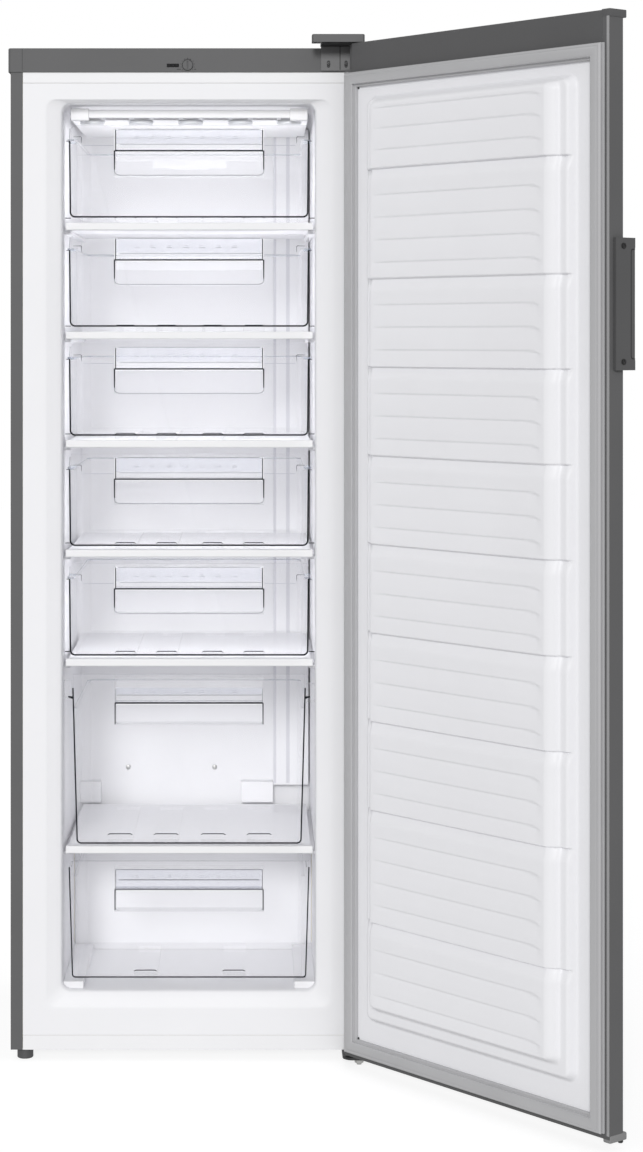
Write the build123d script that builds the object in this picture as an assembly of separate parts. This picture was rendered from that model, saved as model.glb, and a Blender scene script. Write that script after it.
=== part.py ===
from build123d import *
import math
import os

os.makedirs("parts", exist_ok=True)

# Upright freezer, door hinged on the right and standing open, seven clear drawers.
# Working frame in millimetres: X to the right, Y to the back (0 = front face of the
# cabinet), Z up (0 = floor). Every piece is moved by ORIGIN when it is written, so that
# the stored origin is on the floor, under the middle of the front left levelling foot.

# ---------------------------------------------------------------- driving dimensions
HALF_W = 297.0          # half of the cabinet's width
DEPTH = 544.0           # front face to the back panel's inner face
BASE_Z = 18.0           # underside of the base plate
BODY_TOP = 1650.0       # top of the sheet metal body
TOP_Z = 1690.0          # top of the worktop shell
SHEET = 0.8             # sheet metal thickness
FOLD_W = 20.0           # front fold of the side panels
# opening of the food compartment
MOUTH_HW, MOUTH_Z0, MOUTH_Z1 = 236.0, 91.0, 1604.0      # outer line of the bevel
CAV_HW, CAV_Z0, CAV_Z1 = 212.0, 114.5, 1598.5           # compartment walls
BEVEL = 18.0                                            # depth of the bevel
CAV_Y1 = 472.0                                          # back wall
STEP_Y, STEP_Z = 300.0, 333.0                           # step over the compressor
LINER = 2.0                                             # liner wall
REC_Y, REC_Z = 355.0, 278.0                             # compressor recess

# evaporator shelves, top to bottom: upper face of each front bar
SHELF_TOP = [1400.5, 1217.0, 1034.0, 849.5, 665.5, 350.0]
SHELF_H = 12.5
SHELF_HW, BAR_HW = 205.0, 208.0
BAR_Y0, BAR_Y1 = 40.0, 52.0
TUBE_R = 4.0

# drawers: underside of the front, height of front, half width at top and bottom,
# depth of tub, rim height, lip below top, window top below top
FRONT_Y0, FRONT_Y1 = 34.0, 37.0
WINDOW_HW = 124.0
DRAWERS = [
    ("drawer_1", 1409.0, 155.0, 198.5, 196.0, 395.0, 132.0, 43.0, 5.0),
    ("drawer_2", 1225.4, 155.0, 198.5, 196.0, 395.0, 132.0, 43.0, 5.0),
    ("drawer_3", 1042.0, 155.0, 198.5, 196.0, 395.0, 132.0, 43.0, 5.0),
    ("drawer_4", 856.5, 155.0, 198.5, 196.0, 395.0, 132.0, 43.0, 5.0),
    ("drawer_5", 672.0, 155.0, 198.5, 196.0, 395.0, 132.0, 43.0, 5.0),
    ("drawer_6", 355.5, 285.0, 195.0, 188.0, 395.0, 229.0, 48.0, 8.0),
    ("drawer_7", 130.1, 196.0, 202.0, 196.5, 285.0, 172.0, 48.0, 14.0),
]

# door, drawn closed and then turned about the hinge axis to its rest angle
DOOR_IN, DOOR_OUT = -13.0, -47.0
DOOR_Z0, DOOR_Z1 = 19.5, 1692.7
HINGE_X, HINGE_Y = 283.4, -33.2
DOOR_OPEN = 129.3
GASKET_T, GASKET_W, GASKET_IN = 12.2, 25.0, 9.3
GASKET_Z0, GASKET_Z1 = 27.8, 1644.0
PLAT1_V, PLAT2_V = 15.0, 30.0
PIN_R, BUSH_BORE_R = 4.0, 4.05

# levelling feet
FOOT_X, FOOT_Y = 274.3, 22.0
FOOT_R, STUD_R = 13.4, 5.0
ORIGIN = (-FOOT_X, FOOT_Y, 0.0)


# ---------------------------------------------------------------- helpers
def bx(x0, x1, y0, y1, z0, z1):
    return Pos((x0 + x1) / 2, (y0 + y1) / 2, (z0 + z1) / 2) * Box(
        abs(x1 - x0), abs(y1 - y0), abs(z1 - z0)
    )


def cz(x, y, z0, z1, r):
    return Pos(x, y, (z0 + z1) / 2) * Cylinder(r, z1 - z0)


def cy(x, z, y0, y1, r):
    return Pos(x, (y0 + y1) / 2, z) * Rot(90, 0, 0) * Cylinder(r, y1 - y0)


def cx(y, z, x0, x1, r):
    return Pos((x0 + x1) / 2, y, z) * Rot(0, 90, 0) * Cylinder(r, x1 - x0)


def rrect(hw, z0, z1, r, y):
    """Rounded rectangle in the plane Y = y, from z0 to z1."""
    pl = Plane(origin=(0, y, (z0 + z1) / 2), x_dir=(1, 0, 0), z_dir=(0, -1, 0))
    return pl * RectangleRounded(2 * hw, z1 - z0, r)


def tube(points, radii, r):
    """Tube along straight runs joined by tangent arcs."""
    path = FilletPolyline(*points, radius=radii)
    start = path @ 0
    return sweep(Plane(origin=start, z_dir=path % 0) * Circle(r), path=path)


def solids_of(shape):
    out = []
    for s in shape if isinstance(shape, (list, tuple)) else [shape]:
        out += list(s.solids())
    return out


def to_door(shape):
    """Turn a piece drawn on the closed door to the door's rest angle."""
    return Pos(HINGE_X, HINGE_Y, 0) * Rot(0, 0, DOOR_OPEN) * Pos(-HINGE_X, -HINGE_Y, 0) * shape


def save(name, shape, door=False):
    kept = []
    for s in solids_of(shape):
        if door:
            s = to_door(s)
        kept.append(Pos(-ORIGIN[0], -ORIGIN[1], -ORIGIN[2]) * s)
    body = kept[0] if len(kept) == 1 else Compound(children=kept)
    export_step(body, "parts/" + name + ".step")


# ---------------------------------------------------------------- cabinet skins
def side_panel(sign):
    x_out, x_in = sign * HALF_W, sign * (HALF_W - SHEET)
    wall = bx(x_out, x_in, 0, DEPTH, BASE_Z, BODY_TOP)
    fold = bx(x_out, sign * (HALF_W - FOLD_W), 0, SHEET, BASE_Z, BODY_TOP)
    return wall + fold


save("side_panel_left", side_panel(-1))
save("side_panel_right", side_panel(1))

# back panel, with two rows of shallow pressed ribs
back = bx(-HALF_W, HALF_W, DEPTH, DEPTH + SHEET, REC_Z, BODY_TOP)
save("back_panel", back)

# base plate: floor, upright and roof of the compressor recess in one bent sheet, with
# two pressed collars that take the levelling studs
base = bx(-296.2, 296.2, 1.0, REC_Y, BASE_Z, BASE_Z + SHEET)
base += bx(-296.2, 296.2, REC_Y - SHEET, REC_Y, BASE_Z + SHEET, REC_Z)
base += bx(-296.2, 296.2, REC_Y, DEPTH, REC_Z - SHEET, REC_Z)
for s in (-1, 1):
    base += cz(s * FOOT_X, FOOT_Y, BASE_Z + SHEET, BASE_Z + 16, 9.0)
    base -= cz(s * FOOT_X, FOOT_Y, BASE_Z - 1, BASE_Z + 17, STUD_R + 0.05)
save("base_plate", base)

# ---------------------------------------------------------------- inner liner
mouth_in = loft([rrect(MOUTH_HW, MOUTH_Z0, MOUTH_Z1, 16, 0), rrect(CAV_HW, CAV_Z0, CAV_Z1, 16, BEVEL)])
mouth_out = loft(
    [
        rrect(MOUTH_HW + 3.2, MOUTH_Z0 - 3.2, MOUTH_Z1 + 3.2, 18, LINER),
        rrect(CAV_HW + LINER, CAV_Z0 - LINER, CAV_Z1 + LINER, 18, BEVEL + LINER),
    ]
)


def cavity(grow):
    room = extrude(rrect(CAV_HW + grow, CAV_Z0 - grow, CAV_Z1 + grow, 16 + grow, BEVEL + grow), -(CAV_Y1 - BEVEL))
    step = bx(-CAV_HW - 10, CAV_HW + 10, STEP_Y + grow, CAV_Y1 + 10, CAV_Z0 - 10, STEP_Z - grow)
    return room - step


room_in, room_out = cavity(0.0), cavity(LINER)
flange = bx(-HALF_W + FOLD_W + 0.4, HALF_W - FOLD_W - 0.4, 0, LINER, 42.6, 1631.6)
liner = flange + mouth_out + room_out
liner_block = liner
liner = liner - mouth_in - room_in
for top in SHELF_TOP:
    z = top - SHELF_H + 0.5
    for s in (-1, 1):
        liner += bx(s * 200.0, s * (CAV_HW + 1), 62, 430, z - 6, z)
save("inner_liner", liner)

# ---------------------------------------------------------------- insulation
foam = bx(-HALF_W + SHEET, HALF_W - SHEET, LINER, DEPTH, BASE_Z + SHEET, BODY_TOP)
foam -= liner_block
foam -= bx(-300, 300, REC_Y, DEPTH + 1, 0, REC_Z)
foam -= bx(-300, 300, REC_Y - SHEET, DEPTH + 1, 0, REC_Z)
for s in (-1, 1):
    foam -= cz(s * FOOT_X, FOOT_Y, BASE_Z, BASE_Z + 34, 9.0)
save("insulation_foam", foam)

# painted front rails above and below the liner's flange
rail_top = bx(-276.6, 276.6, 0, 1.2, 1632.0, 1649.6)
rail_bottom = bx(-276.6, 276.6, 0, 1.0, BASE_Z, 42.2)
save("front_rails", [rail_top, rail_bottom])

# ---------------------------------------------------------------- worktop and controls
DIAL_X, DIAL_Z, DIAL_R = -1.5, 1661.5, 8.7
LAMP_X0, LAMP_X1, LAMP_Z0, LAMP_Z1 = -36.0, -16.0, 1658.7, 1663.7
top = bx(-301, 301, -2, 548, BODY_TOP, TOP_Z)
top = fillet(top.edges().filter_by(Axis.Z), 5)
top = fillet(top.faces().sort_by(Axis.Z)[-1].edges(), 2.5)
inside = bx(-298, 298, 0.5, 545.5, BODY_TOP - 1, TOP_Z - 2.5)
top -= inside
top -= cy(DIAL_X, DIAL_Z, -5, 2, DIAL_R + 0.5)
top -= bx(LAMP_X0, LAMP_X1, -5, 2, LAMP_Z0, LAMP_Z1)
save("top_panel", top)

lamps = []
pitch = (LAMP_X1 - LAMP_X0) / 3
for i in range(3):
    a = LAMP_X0 + i * pitch
    lamps.append(bx(a + 0.3, a + pitch - 0.3, -2.6, 14, LAMP_Z0 + 0.2, LAMP_Z1 - 0.2))
save("indicator_lamps", lamps)

thermostat = bx(DIAL_X - 38, DIAL_X + 22, 14, 54, BODY_TOP, BODY_TOP + 34)
thermostat += cy(DIAL_X, DIAL_Z, 0.5, 14, 12.5) & bx(-40, 40, 0.5, 14, BODY_TOP, TOP_Z)
thermostat -= cy(DIAL_X, DIAL_Z, 0, 8, DIAL_R + 0.6)
thermostat -= cy(DIAL_X, DIAL_Z, 7, 24, 3.05)
save("thermostat_body", thermostat)

dial = cy(DIAL_X, DIAL_Z, -4.2, 2.4, DIAL_R)
dial = chamfer(dial.edges().sort_by(Axis.Y)[0], 0.8)
dial -= bx(DIAL_X - 1.1, DIAL_X + 1.1, -5, -2.7, DIAL_Z - 6.5, DIAL_Z + 6.5)
dial += cy(DIAL_X, DIAL_Z, 2.4, 20, 3.0)
save("thermostat_dial", dial)

# ---------------------------------------------------------------- hinges
hb = bx(221, 273, -5, -2, 1652, 1697.3)
hb += bx(221, 292, -50, -2, 1694.3, 1697.3)
hb -= cz(HINGE_X, HINGE_Y, 1690, 1700, PIN_R)
for x in (233.6, 262.8):
    hb -= cy(x, 1663.3, -6, -1, 2.6)
save("top_hinge_bracket", hb)

cover = bx(205, 292, -55, 22, 1694.3, 1707.5)
cover = fillet(cover.edges().filter_by(Axis.Z), 3)
cover = chamfer(cover.faces().sort_by(Axis.Z)[-1].edges(), 1.2)
cover -= bx(219, 289.6, -52, 3, 1693, 1700)
cover -= bx(219, 295, -52, 3, 1693, 1697.5)
cover -= bx(200, 220.6, -30, 30, 1690, 1712)
cover += bx(223, 262, 4, 20, TOP_Z, 1695)
save("hinge_cover", cover)

lower = bx(256, 296, -50, 60, 14, BASE_Z)
lower = fillet(lower.edges().filter_by(Axis.Z).sort_by(Axis.Y)[:2].sort_by(Axis.X)[0], 17)
lower = fillet(lower.edges().filter_by(Axis.Z).sort_by(Axis.Y).sort_by(Axis.X)[-2:].sort_by(Axis.Y)[0], 11)
lower -= cz(HINGE_X, HINGE_Y, 10, 20, PIN_R)
lower -= cz(FOOT_X, FOOT_Y, 10, 20, STUD_R + 0.4)
for x in (262, 286):
    lower -= cz(x, 49, 10, 20, 2.6)
save("bottom_hinge_bracket", lower)

pin_top = cz(HINGE_X, HINGE_Y, 1673, 1697.3, PIN_R) + cz(HINGE_X, HINGE_Y, 1697.3, 1699.3, 6)
nut = Pos(HINGE_X, HINGE_Y, 6.5) * extrude(RegularPolygon(7.5, 6), 7.5)
pin_low = cz(HINGE_X, HINGE_Y, 3.5, 38, PIN_R) + nut
save("hinge_pins", [pin_top, pin_low])

screws = []
for x in (233.6, 262.8):
    head = cy(x, 1663.3, -7.4, -5, 4.4)
    head -= bx(x - 0.7, x + 0.7, -8, -6.2, 1663.3 - 3, 1663.3 + 3)
    head -= bx(x - 3, x + 3, -8, -6.2, 1663.3 - 0.7, 1663.3 + 0.7)
    screws.append(head + cy(x, 1663.3, -5, -2.0, 2.5))
for x in (262, 286):
    screws.append(cz(x, 49, 11.4, 14, 4.4) + cz(x, 49, 14, BASE_Z, 2.5))
save("hinge_screws", screws)

# ---------------------------------------------------------------- evaporator
# runs in pairs, joined by narrow bends at the front and wider ones at the back
PAIRS = [-166.0, -83.0, 1.5, 86.0, 169.0]
xs = []
for c in PAIRS:
    xs += [c - 17.0, c + 17.0]


def serpentine(z, y0, y1, r):
    pts, rad = [], []
    front = False
    pts.append((xs[0], y1 + 6, z))
    for i, x in enumerate(xs):
        if i:
            pts.append((x, y0 if not front else y1, z))
            front = not front
        if i < len(xs) - 1:
            pts.append((x, y0 if not front else y1, z))
    pts.append((xs[-1], y1 + 6, z))
    path_pts = pts
    n = len(path_pts) - 2
    half = []
    for i in range(1, len(path_pts) - 1):
        a, b = path_pts[i], path_pts[i + 1]
        c = path_pts[i - 1]
        width = abs(a[0] - b[0]) if abs(a[0] - b[0]) > 1 else abs(a[0] - c[0])
        half.append(width / 2 - 0.05)
    assert len(half) == n
    return tube(path_pts, half, r)


tubes = []
one = serpentine(0.0, 64.0, 424.0, TUBE_R)
for topz in SHELF_TOP:
    tubes.append(Pos(0, 0, topz - 6.5) * one)
TOP_TUBE_Z = 1571.6
tubes.append(Pos(0, 0, TOP_TUBE_Z) * one)
save("evaporator_tubes", tubes)

sleeves, bars = [], []
for topz in SHELF_TOP:
    z1, z0 = topz - 1.0, topz - SHELF_H + 0.5
    s = bx(-SHELF_HW, SHELF_HW, 46, 440, z0, z1)
    s -= bx(-SHELF_HW + 1.5, SHELF_HW - 1.5, 40, 450, z0 + 1.5, z1 - 1.5)
    sleeves.append(s)
    b = bx(-BAR_HW, BAR_HW, BAR_Y0, BAR_Y1, topz - SHELF_H, topz)
    b = fillet(b.edges().filter_by(Axis.X).group_by(Axis.Y)[0], 2.0)
    b -= bx(-SHELF_HW, SHELF_HW, 46, 60, z0, z1)
    bars.append(b)
save("shelf_sleeves", sleeves)
save("shelf_front_bars", bars)

sheet = bx(-200, 200, 60, 440, 1575.6, 1576.4)
for x in (-199.6, 199.6):
    sheet += bx(x - 0.4, x + 0.4, 60, 440, 1576.4, 1586)
    for y in (100, 370):
        sheet += bx(x - 0.4, x + 0.4, y, y + 30, 1586, CAV_Z1) & room_in
save("top_evaporator_sheet", sheet)
tb = bx(-169.5, 170, 46, 58, 1577.3, 1590.7)
tb = fillet(tb.edges().filter_by(Axis.X).group_by(Axis.Y)[0], 2.0)
caps = []
for x0, x1 in ((-199.5, -169.5), (170, 199.5)):
    c = bx(x0, x1, 43.5, 60, 1573.0, 1593.5)
    caps.append(fillet(c.edges().filter_by(Axis.X), 2.0))
save("top_evaporator_bar", [tb] + caps)

# duct in the right rear corner, with the pipe that links the shelves
duct = bx(144, 209, 450, CAV_Y1, 383, 1590) - bx(145.6, 207.4, 451.6, CAV_Y1 + 1, 380, 1600)
save("pipe_duct_cover", duct)
save("riser_pipe", cz(176, CAV_Y1 - TUBE_R, 386, 1586, TUBE_R))

# rails under the lowest drawer and two rear stop blocks above the step
rails = []
for s in (-1, 1):
    rails.append(bx(s * 177, s * 211.8, 24, 296, CAV_Z0, 126) & room_in)
rails.append(bx(-211.8, -173.5, 446, CAV_Y1, 351, 389))
rails.append(bx(85, 143.9, 446, CAV_Y1, 351, 389))
# side stops at the top of the deep drawer
rails.append(bx(-211.8, -198, 38, 60, 599, 629))
rails.append(bx(198, 211.8, 38, 60, 593, 623))
save("drawer_rails", rails)


# ---------------------------------------------------------------- drawers
def drawer_front(z0, h, hw_top, hw_bot, lip, wtop):
    zt = z0 + h
    with BuildSketch(Plane(origin=(0, FRONT_Y1, 0), x_dir=(1, 0, 0), z_dir=(0, -1, 0))) as sk:
        with BuildLine():
            Polyline((-hw_bot, z0), (hw_bot, z0), (hw_top, zt), (-hw_top, zt), close=True)
        make_face()
        vs = sk.vertices().sort_by(Axis.Z)
        fillet(vs[:2], 8)
        fillet(vs[2:], 4)
    plate = extrude(sk.sketch, FRONT_Y1 - FRONT_Y0)
    wb, wl, wt = zt - 84.0, zt - lip, zt - wtop
    cut = bx(-WINDOW_HW, WINDOW_HW, FRONT_Y0 - 1, FRONT_Y1 + 1, wb, wl)
    cut = fillet(cut.edges().filter_by(Axis.Y).group_by(Axis.Z)[0], 7)
    plate -= cut
    pocket = bx(-WINDOW_HW - 2, WINDOW_HW + 2, FRONT_Y1, 66, wb - 2, wt)
    pocket -= bx(-WINDOW_HW, WINDOW_HW, FRONT_Y1 - 1, 64, wb, wt - 2)
    lipb = bx(-WINDOW_HW, WINDOW_HW, FRONT_Y1, 47, wl, wl + 2.5)
    return plate + pocket + lipb


def drawer_tub(z0, yb, rim, ribs, rib_w, rib_z, lug):
    hw = 190.0
    body = bx(-hw, hw, FRONT_Y1, yb, z0, z0 + rim)
    body = fillet(body.edges().filter_by(Axis.Z).group_by(Axis.Y)[-1], 14)
    flange_r = bx(-hw - 4, hw + 4, FRONT_Y1, yb + 4, z0 + rim - 2, z0 + rim)
    flange_r = fillet(flange_r.edges().filter_by(Axis.Z).group_by(Axis.Y)[-1], 18)
    hollow = bx(-hw + 2, hw - 2, FRONT_Y1 - 5, yb - 2, z0 + 2, z0 + rim + 5)
    hollow = fillet(hollow.edges().filter_by(Axis.Z).group_by(Axis.Y)[-1], 12)
    body = body + flange_r - hollow
    if lug:
        for s in (-1, 1):
            wing = bx(s * (hw + 2), s * 205.0, FRONT_Y1 + 1, FRONT_Y1 + 60, z0 + rim - 4, z0 + rim)
            body += fillet(wing.edges().filter_by(Axis.Z), 4)
    for x in ribs:
        body += bx(x - rib_w / 2, x + rib_w / 2, FRONT_Y1 + 35, yb - 22, rib_z, z0)
    return body


for i, (name, z0, h, ht, hb_, yb, rim, lip, wtop) in enumerate(DRAWERS):
    if name == "drawer_7":
        ribs, rw, rz = (-75, 75), 39, 118.5
    elif name == "drawer_6":
        ribs, rw, rz = (-118, -40, 40, 118), 42, SHELF_TOP[i] + 0.4
    else:
        ribs, rw, rz = (-109, -39, 39, 109), 36, SHELF_TOP[i] + 0.4
    tub = drawer_tub(z0, yb, rim, ribs, rw, rz, name not in ("drawer_6", "drawer_7"))
    if name == "drawer_7":
        for s in (-1, 1):
            tub += bx(s * 179, s * 188, FRONT_Y1 + 6, yb - 16, 126.4, z0)
    save(name + "_tub", tub)
    save(name + "_front", drawer_front(z0, h, ht, hb_, lip, wtop))

# ---------------------------------------------------------------- door
def door_section(grow, y_in):
    """Outline of the door seen from above, with rounded outer edges."""
    with BuildSketch() as sk:
        with BuildLine():
            Polyline(
                (-HALF_W - grow, y_in), (HALF_W + grow, y_in),
                (HALF_W + grow, DOOR_OUT - grow), (-HALF_W - grow, DOOR_OUT - grow), close=True,
            )
        make_face()
        vs = sk.vertices().sort_by(Axis.Y)
        fillet(vs[:2], 8.0 + grow)
    return sk.sketch


def door_slab(grow, y_in, z0, z1):
    return Pos(0, 0, z0) * extrude(door_section(grow, y_in), z1 - z0)


SKIN_Z0, SKIN_Z1 = 24.5, 1687.5
FOAM_Z0, FOAM_Z1 = 28.2, 1643.6
skin = door_slab(0, DOOR_IN, SKIN_Z0, SKIN_Z1)
skin -= door_slab(-SHEET, DOOR_IN - SHEET, SKIN_Z0 - 1, SKIN_Z1 + 1)
skin -= bx(-283, 283, DOOR_IN - 2, DOOR_IN + 1, SKIN_Z0 - 1, SKIN_Z1 + 1)

# liner plateau in two levels
def plateau(shrink):
    a = loft(
        [
            rrect(233.0 - shrink, 90.0 + shrink, 1601.0 - shrink, 14, DOOR_IN - shrink),
            rrect(225.0 - shrink, 96.5 + shrink, 1597.0 - shrink, 14, DOOR_IN + PLAT1_V - shrink),
        ]
    )
    b = loft(
        [
            rrect(210.0 - shrink, 114.5 + shrink, 1595.0 - shrink, 14, DOOR_IN + PLAT1_V - shrink),
            rrect(202.0 - shrink, 121.0 + shrink, 1593.0 - shrink, 14, DOOR_IN + PLAT2_V - shrink),
        ]
    )
    return a + b


liner_flange = bx(-282.6, 282.6, DOOR_IN - LINER, DOOR_IN, FOAM_Z0, FOAM_Z1)
p_out, p_in = plateau(0.0), plateau(LINER)
door_liner = liner_flange + p_out - p_in
dfoam = door_slab(-SHEET, DOOR_IN - LINER, FOAM_Z0, FOAM_Z1) + p_in
dfoam -= bx(270, 297, -50, -10, 20, 42)

cap_top = door_slab(0, DOOR_IN, SKIN_Z1, DOOR_Z1)
cap_top = chamfer(cap_top.faces().sort_by(Axis.Z)[-1].edges(), 1.0)
cap_top += door_slab(-SHEET, DOOR_IN - SHEET - 0.1, FOAM_Z1, SKIN_Z1)
cap_top += bx(-282.8, 282.8, DOOR_IN - 2, DOOR_IN, FOAM_Z1, SKIN_Z1)
cap_low = door_slab(0, DOOR_IN, DOOR_Z0, SKIN_Z0)
cap_low += door_slab(-SHEET, DOOR_IN - SHEET - 0.1, SKIN_Z0, FOAM_Z0)
cap_low += bx(-282.8, 282.8, DOOR_IN - 2, DOOR_IN, SKIN_Z0, FOAM_Z0)
cap_low += bx(270.2, 296.0, -46.0, -15.2, SKIN_Z0, 41.8) & door_slab(-SHEET, DOOR_IN - 2, SKIN_Z0, 41.8)
cap_top -= cz(HINGE_X, HINGE_Y, 1671, 1700, 7)
# the inner corner over the hinge side is cut back to clear the upper bracket
notch = bx(279, 299, -25, -12, 1650, 1700)
cap_top -= notch
skin -= notch
cap_low -= cz(HINGE_X, HINGE_Y, 10, 39.5, 7)

bush_top = cz(HINGE_X, HINGE_Y, 1671, DOOR_Z1, 7) - cz(HINGE_X, HINGE_Y, 1672, 1700, BUSH_BORE_R)
bush_low = cz(HINGE_X, HINGE_Y, DOOR_Z0, 39.5, 7) - cz(HINGE_X, HINGE_Y, 10, 38.8, BUSH_BORE_R)

# gasket ring with a sealed channel for the magnet strips
GX1 = HALF_W - GASKET_IN
GX0 = GX1 - GASKET_W
GZ0, GZ1 = GASKET_Z0, GASKET_Z1
gy0, gy1 = DOOR_IN, DOOR_IN + GASKET_T
gasket = bx(-GX1, GX1, gy0, gy1, GZ0, GZ1)
gasket = chamfer(gasket.faces().sort_by(Axis.Y)[-1].edges(), 2.0)
gasket -= bx(-GX0, GX0, gy0 - 1, gy1 + 1, GZ0 + GASKET_W, GZ1 - GASKET_W)
my0, my1 = gy1 - 5.2, gy1 - 1.8
gasket -= bx(-GX1 + 7, GX1 - 7, my0, my1, GZ0 + 7, GZ1 - 7) - bx(-GX1 + 17, GX1 - 17, my0, my1, GZ0 + 17, GZ1 - 17)
magnets = []
for s in (-1, 1):
    magnets.append(bx(s * (GX1 - 16.8), s * (GX1 - 7.2), my0 + 0.2, my1 - 0.2, GZ0 + 18, GZ1 - 18))
magnets.append(bx(-GX1 + 18, GX1 - 18, my0 + 0.2, my1 - 0.2, GZ0 + 7.2, GZ0 + 16.8))
magnets.append(bx(-GX1 + 18, GX1 - 18, my0 + 0.2, my1 - 0.2, GZ1 - 16.8, GZ1 - 7.2))

# handle on the free edge: side plate, grip in front of the door, two end blocks
HZ0, HZ1 = 1158.0, 1355.0
handle = bx(-303, -297, -61.7, -21, HZ0, HZ1)
handle += bx(-303, -262, -61.7, -56.5, HZ0 + 12, HZ1 - 12)
handle += bx(-303, -260, -62.5, -56.5, HZ0, HZ0 + 15)
handle += bx(-303, -260, -62.5, -56.5, HZ1 - 15, HZ1)
for a, b in ((HZ0, HZ0 + 15), (HZ1 - 15, HZ1)):
    handle += bx(-303, -260, -57, DOOR_OUT, a, b) - door_slab(0, DOOR_IN, 0, 1700)
SCREW_Y, SCREW_Z = -37.0, (1170.5, 1342.7)
hscrews = []
for z in SCREW_Z:
    handle -= cx(SCREW_Y, z, -304, -296, 2.3)
    skin -= cx(SCREW_Y, z, -300, -290, 2.3)
    dfoam -= cx(SCREW_Y, z, -298, -280, 2.3)
    head = cx(SCREW_Y, z, -304.6, -303, 4.4)
    head -= bx(-305, -304, SCREW_Y - 0.7, SCREW_Y + 0.7, z - 3, z + 3)
    head -= bx(-305, -304, SCREW_Y - 3, SCREW_Y + 3, z - 0.7, z + 0.7)
    hscrews.append(head + cx(SCREW_Y, z, -303, -282, 2.2))

save("door_skin", skin, True)
save("door_foam", dfoam, True)
save("door_liner", door_liner, True)
save("door_top_cap", cap_top, True)
save("door_bottom_cap", cap_low, True)
save("door_hinge_bushes", [bush_top, bush_low], True)
save("door_gasket", gasket, True)
save("gasket_magnets", magnets, True)
save("door_handle", handle, True)
save("handle_screws", hscrews, True)

# ---------------------------------------------------------------- feet
def foot(x, top):
    pad = cz(x, FOOT_Y, 0, top, FOOT_R)
    pad = fillet(pad.edges().sort_by(Axis.Z)[0], 2.4)
    return pad + cz(x, FOOT_Y, top, BASE_Z + 26, STUD_R)


save("levelling_foot_left", foot(-FOOT_X, BASE_Z - 1.0))
save("levelling_foot_right", foot(FOOT_X, 12.6))

# ---------------------------------------------------------------- machine recess
TRAY_HW = HALF_W - SHEET
tray = bx(-TRAY_HW, TRAY_HW, 392, 536, 26, 28)
tray += bx(-TRAY_HW, TRAY_HW, 392, 394, 28, 40) + bx(-TRAY_HW, TRAY_HW, 534, 536, 28, 40)
CX, CYC = 112.0, 462.0
GROM = [(CX + a, CYC + b) for a in (-78, 78) for b in (-46, 46)]
for gx, gy in GROM:
    tray -= cz(gx, gy, 20, 30, 5.0)
save("compressor_tray", tray)

feet = []
for s in (-1, 1):
    f = cz(s * 252, 505, 0, 26, 16)
    feet.append(fillet(f.edges().sort_by(Axis.Z)[0], 2.5))
save("rear_feet", feet)

grommets = []
for gx, gy in GROM:
    g = cz(gx, gy, 28, 46, 10) + cz(gx, gy, 24, 28, 5.0) + cz(gx, gy, 46, 50, 6.0)
    grommets.append(g - cz(gx, gy, 20, 52, 3.0))
save("compressor_grommets", grommets)

shell = cz(CX, CYC, 49.2, 205, 68)
shell = fillet(shell.edges().filter_by(GeomType.CIRCLE), 26)
shell += cz(CX, CYC, 118, 122, 72)
plate = bx(CX - 92, CX + 92, CYC - 58, CYC + 58, 46, 49.2)
plate = fillet(plate.edges().filter_by(Axis.Z), 8)
for gx, gy in GROM:
    plate -= cz(gx, gy, 45, 51, 6.0)
compressor = plate + shell + cz(CX, CYC, 49.2, 80, 40)
save("compressor", compressor)

relay = bx(CX - 112, CX - 58, CYC - 30, CYC + 30, 78, 152)
relay = fillet(relay.edges().filter_by(Axis.X), 4)
relay += cx(CYC + 6, 90, CX - 128, CX - 112, 7.5)
relay -= cx(CYC + 6, 90, CX - 129, CX - 118, 4.5)
relay -= cz(CX, CYC, 60, 170, 68)
relay -= cz(CX, CYC, 118, 122, 72)
save("start_relay_box", relay)

# pipes: suction line into the roof of the recess, discharge line to the condenser
CON_Y = 563.5
suction = tube([(CX - 26, CYC, 205), (CX - 26, CYC, 246), (CX - 80, CYC, 246), (CX - 80, CYC, REC_Z - SHEET)], [12, 12], 3.2)
discharge = tube(
    [(CX + 68, CYC, 150), (CX + 104, CYC, 150), (CX + 104, CYC, 252), (CX + 104, CON_Y, 252), (CX + 104, CON_Y, 330)],
    [14, 14, 14],
    2.5,
)
process = tube([(CX + 20, CYC - 30, 205), (CX + 20, CYC - 30, 236), (CX + 20, CYC + 4, 236)], [10], 2.5)
save("refrigerant_pipes", [suction, discharge, process])

drier = cz(-78, 505, 110, 214, 9.5)
drier = fillet(drier.edges().filter_by(GeomType.CIRCLE), 4)
drier += cz(-78, 505, 214, 243, 2.5)
drier += tube([(-78, 505, 112), (-78, 505, 76), (-78, 465, 76), (-78, 465, REC_Z - SHEET)], [12, 12], 1.6)
save("filter_drier", drier)

# condenser: one serpentine tube with vertical wires, on four clips
CON_X, CON_Z0, PITCH, RUNS = 236.0, 330.0, 70.0, 17
pts = [(CX + 104, CON_Y, CON_Z0 + 0.01)]
rad = []
side = 1
z = CON_Z0 + 28
pts.append((CX + 104, CON_Y, z))
for k in range(RUNS):
    side = -side
    if k < RUNS - 1:
        pts.append((side * CON_X, CON_Y, z))
        z += PITCH
        pts.append((side * CON_X, CON_Y, z))
rad = [20.0] + [PITCH / 2 - 0.05] * (len(pts) - 2)
CON_ZTOP = z
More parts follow.
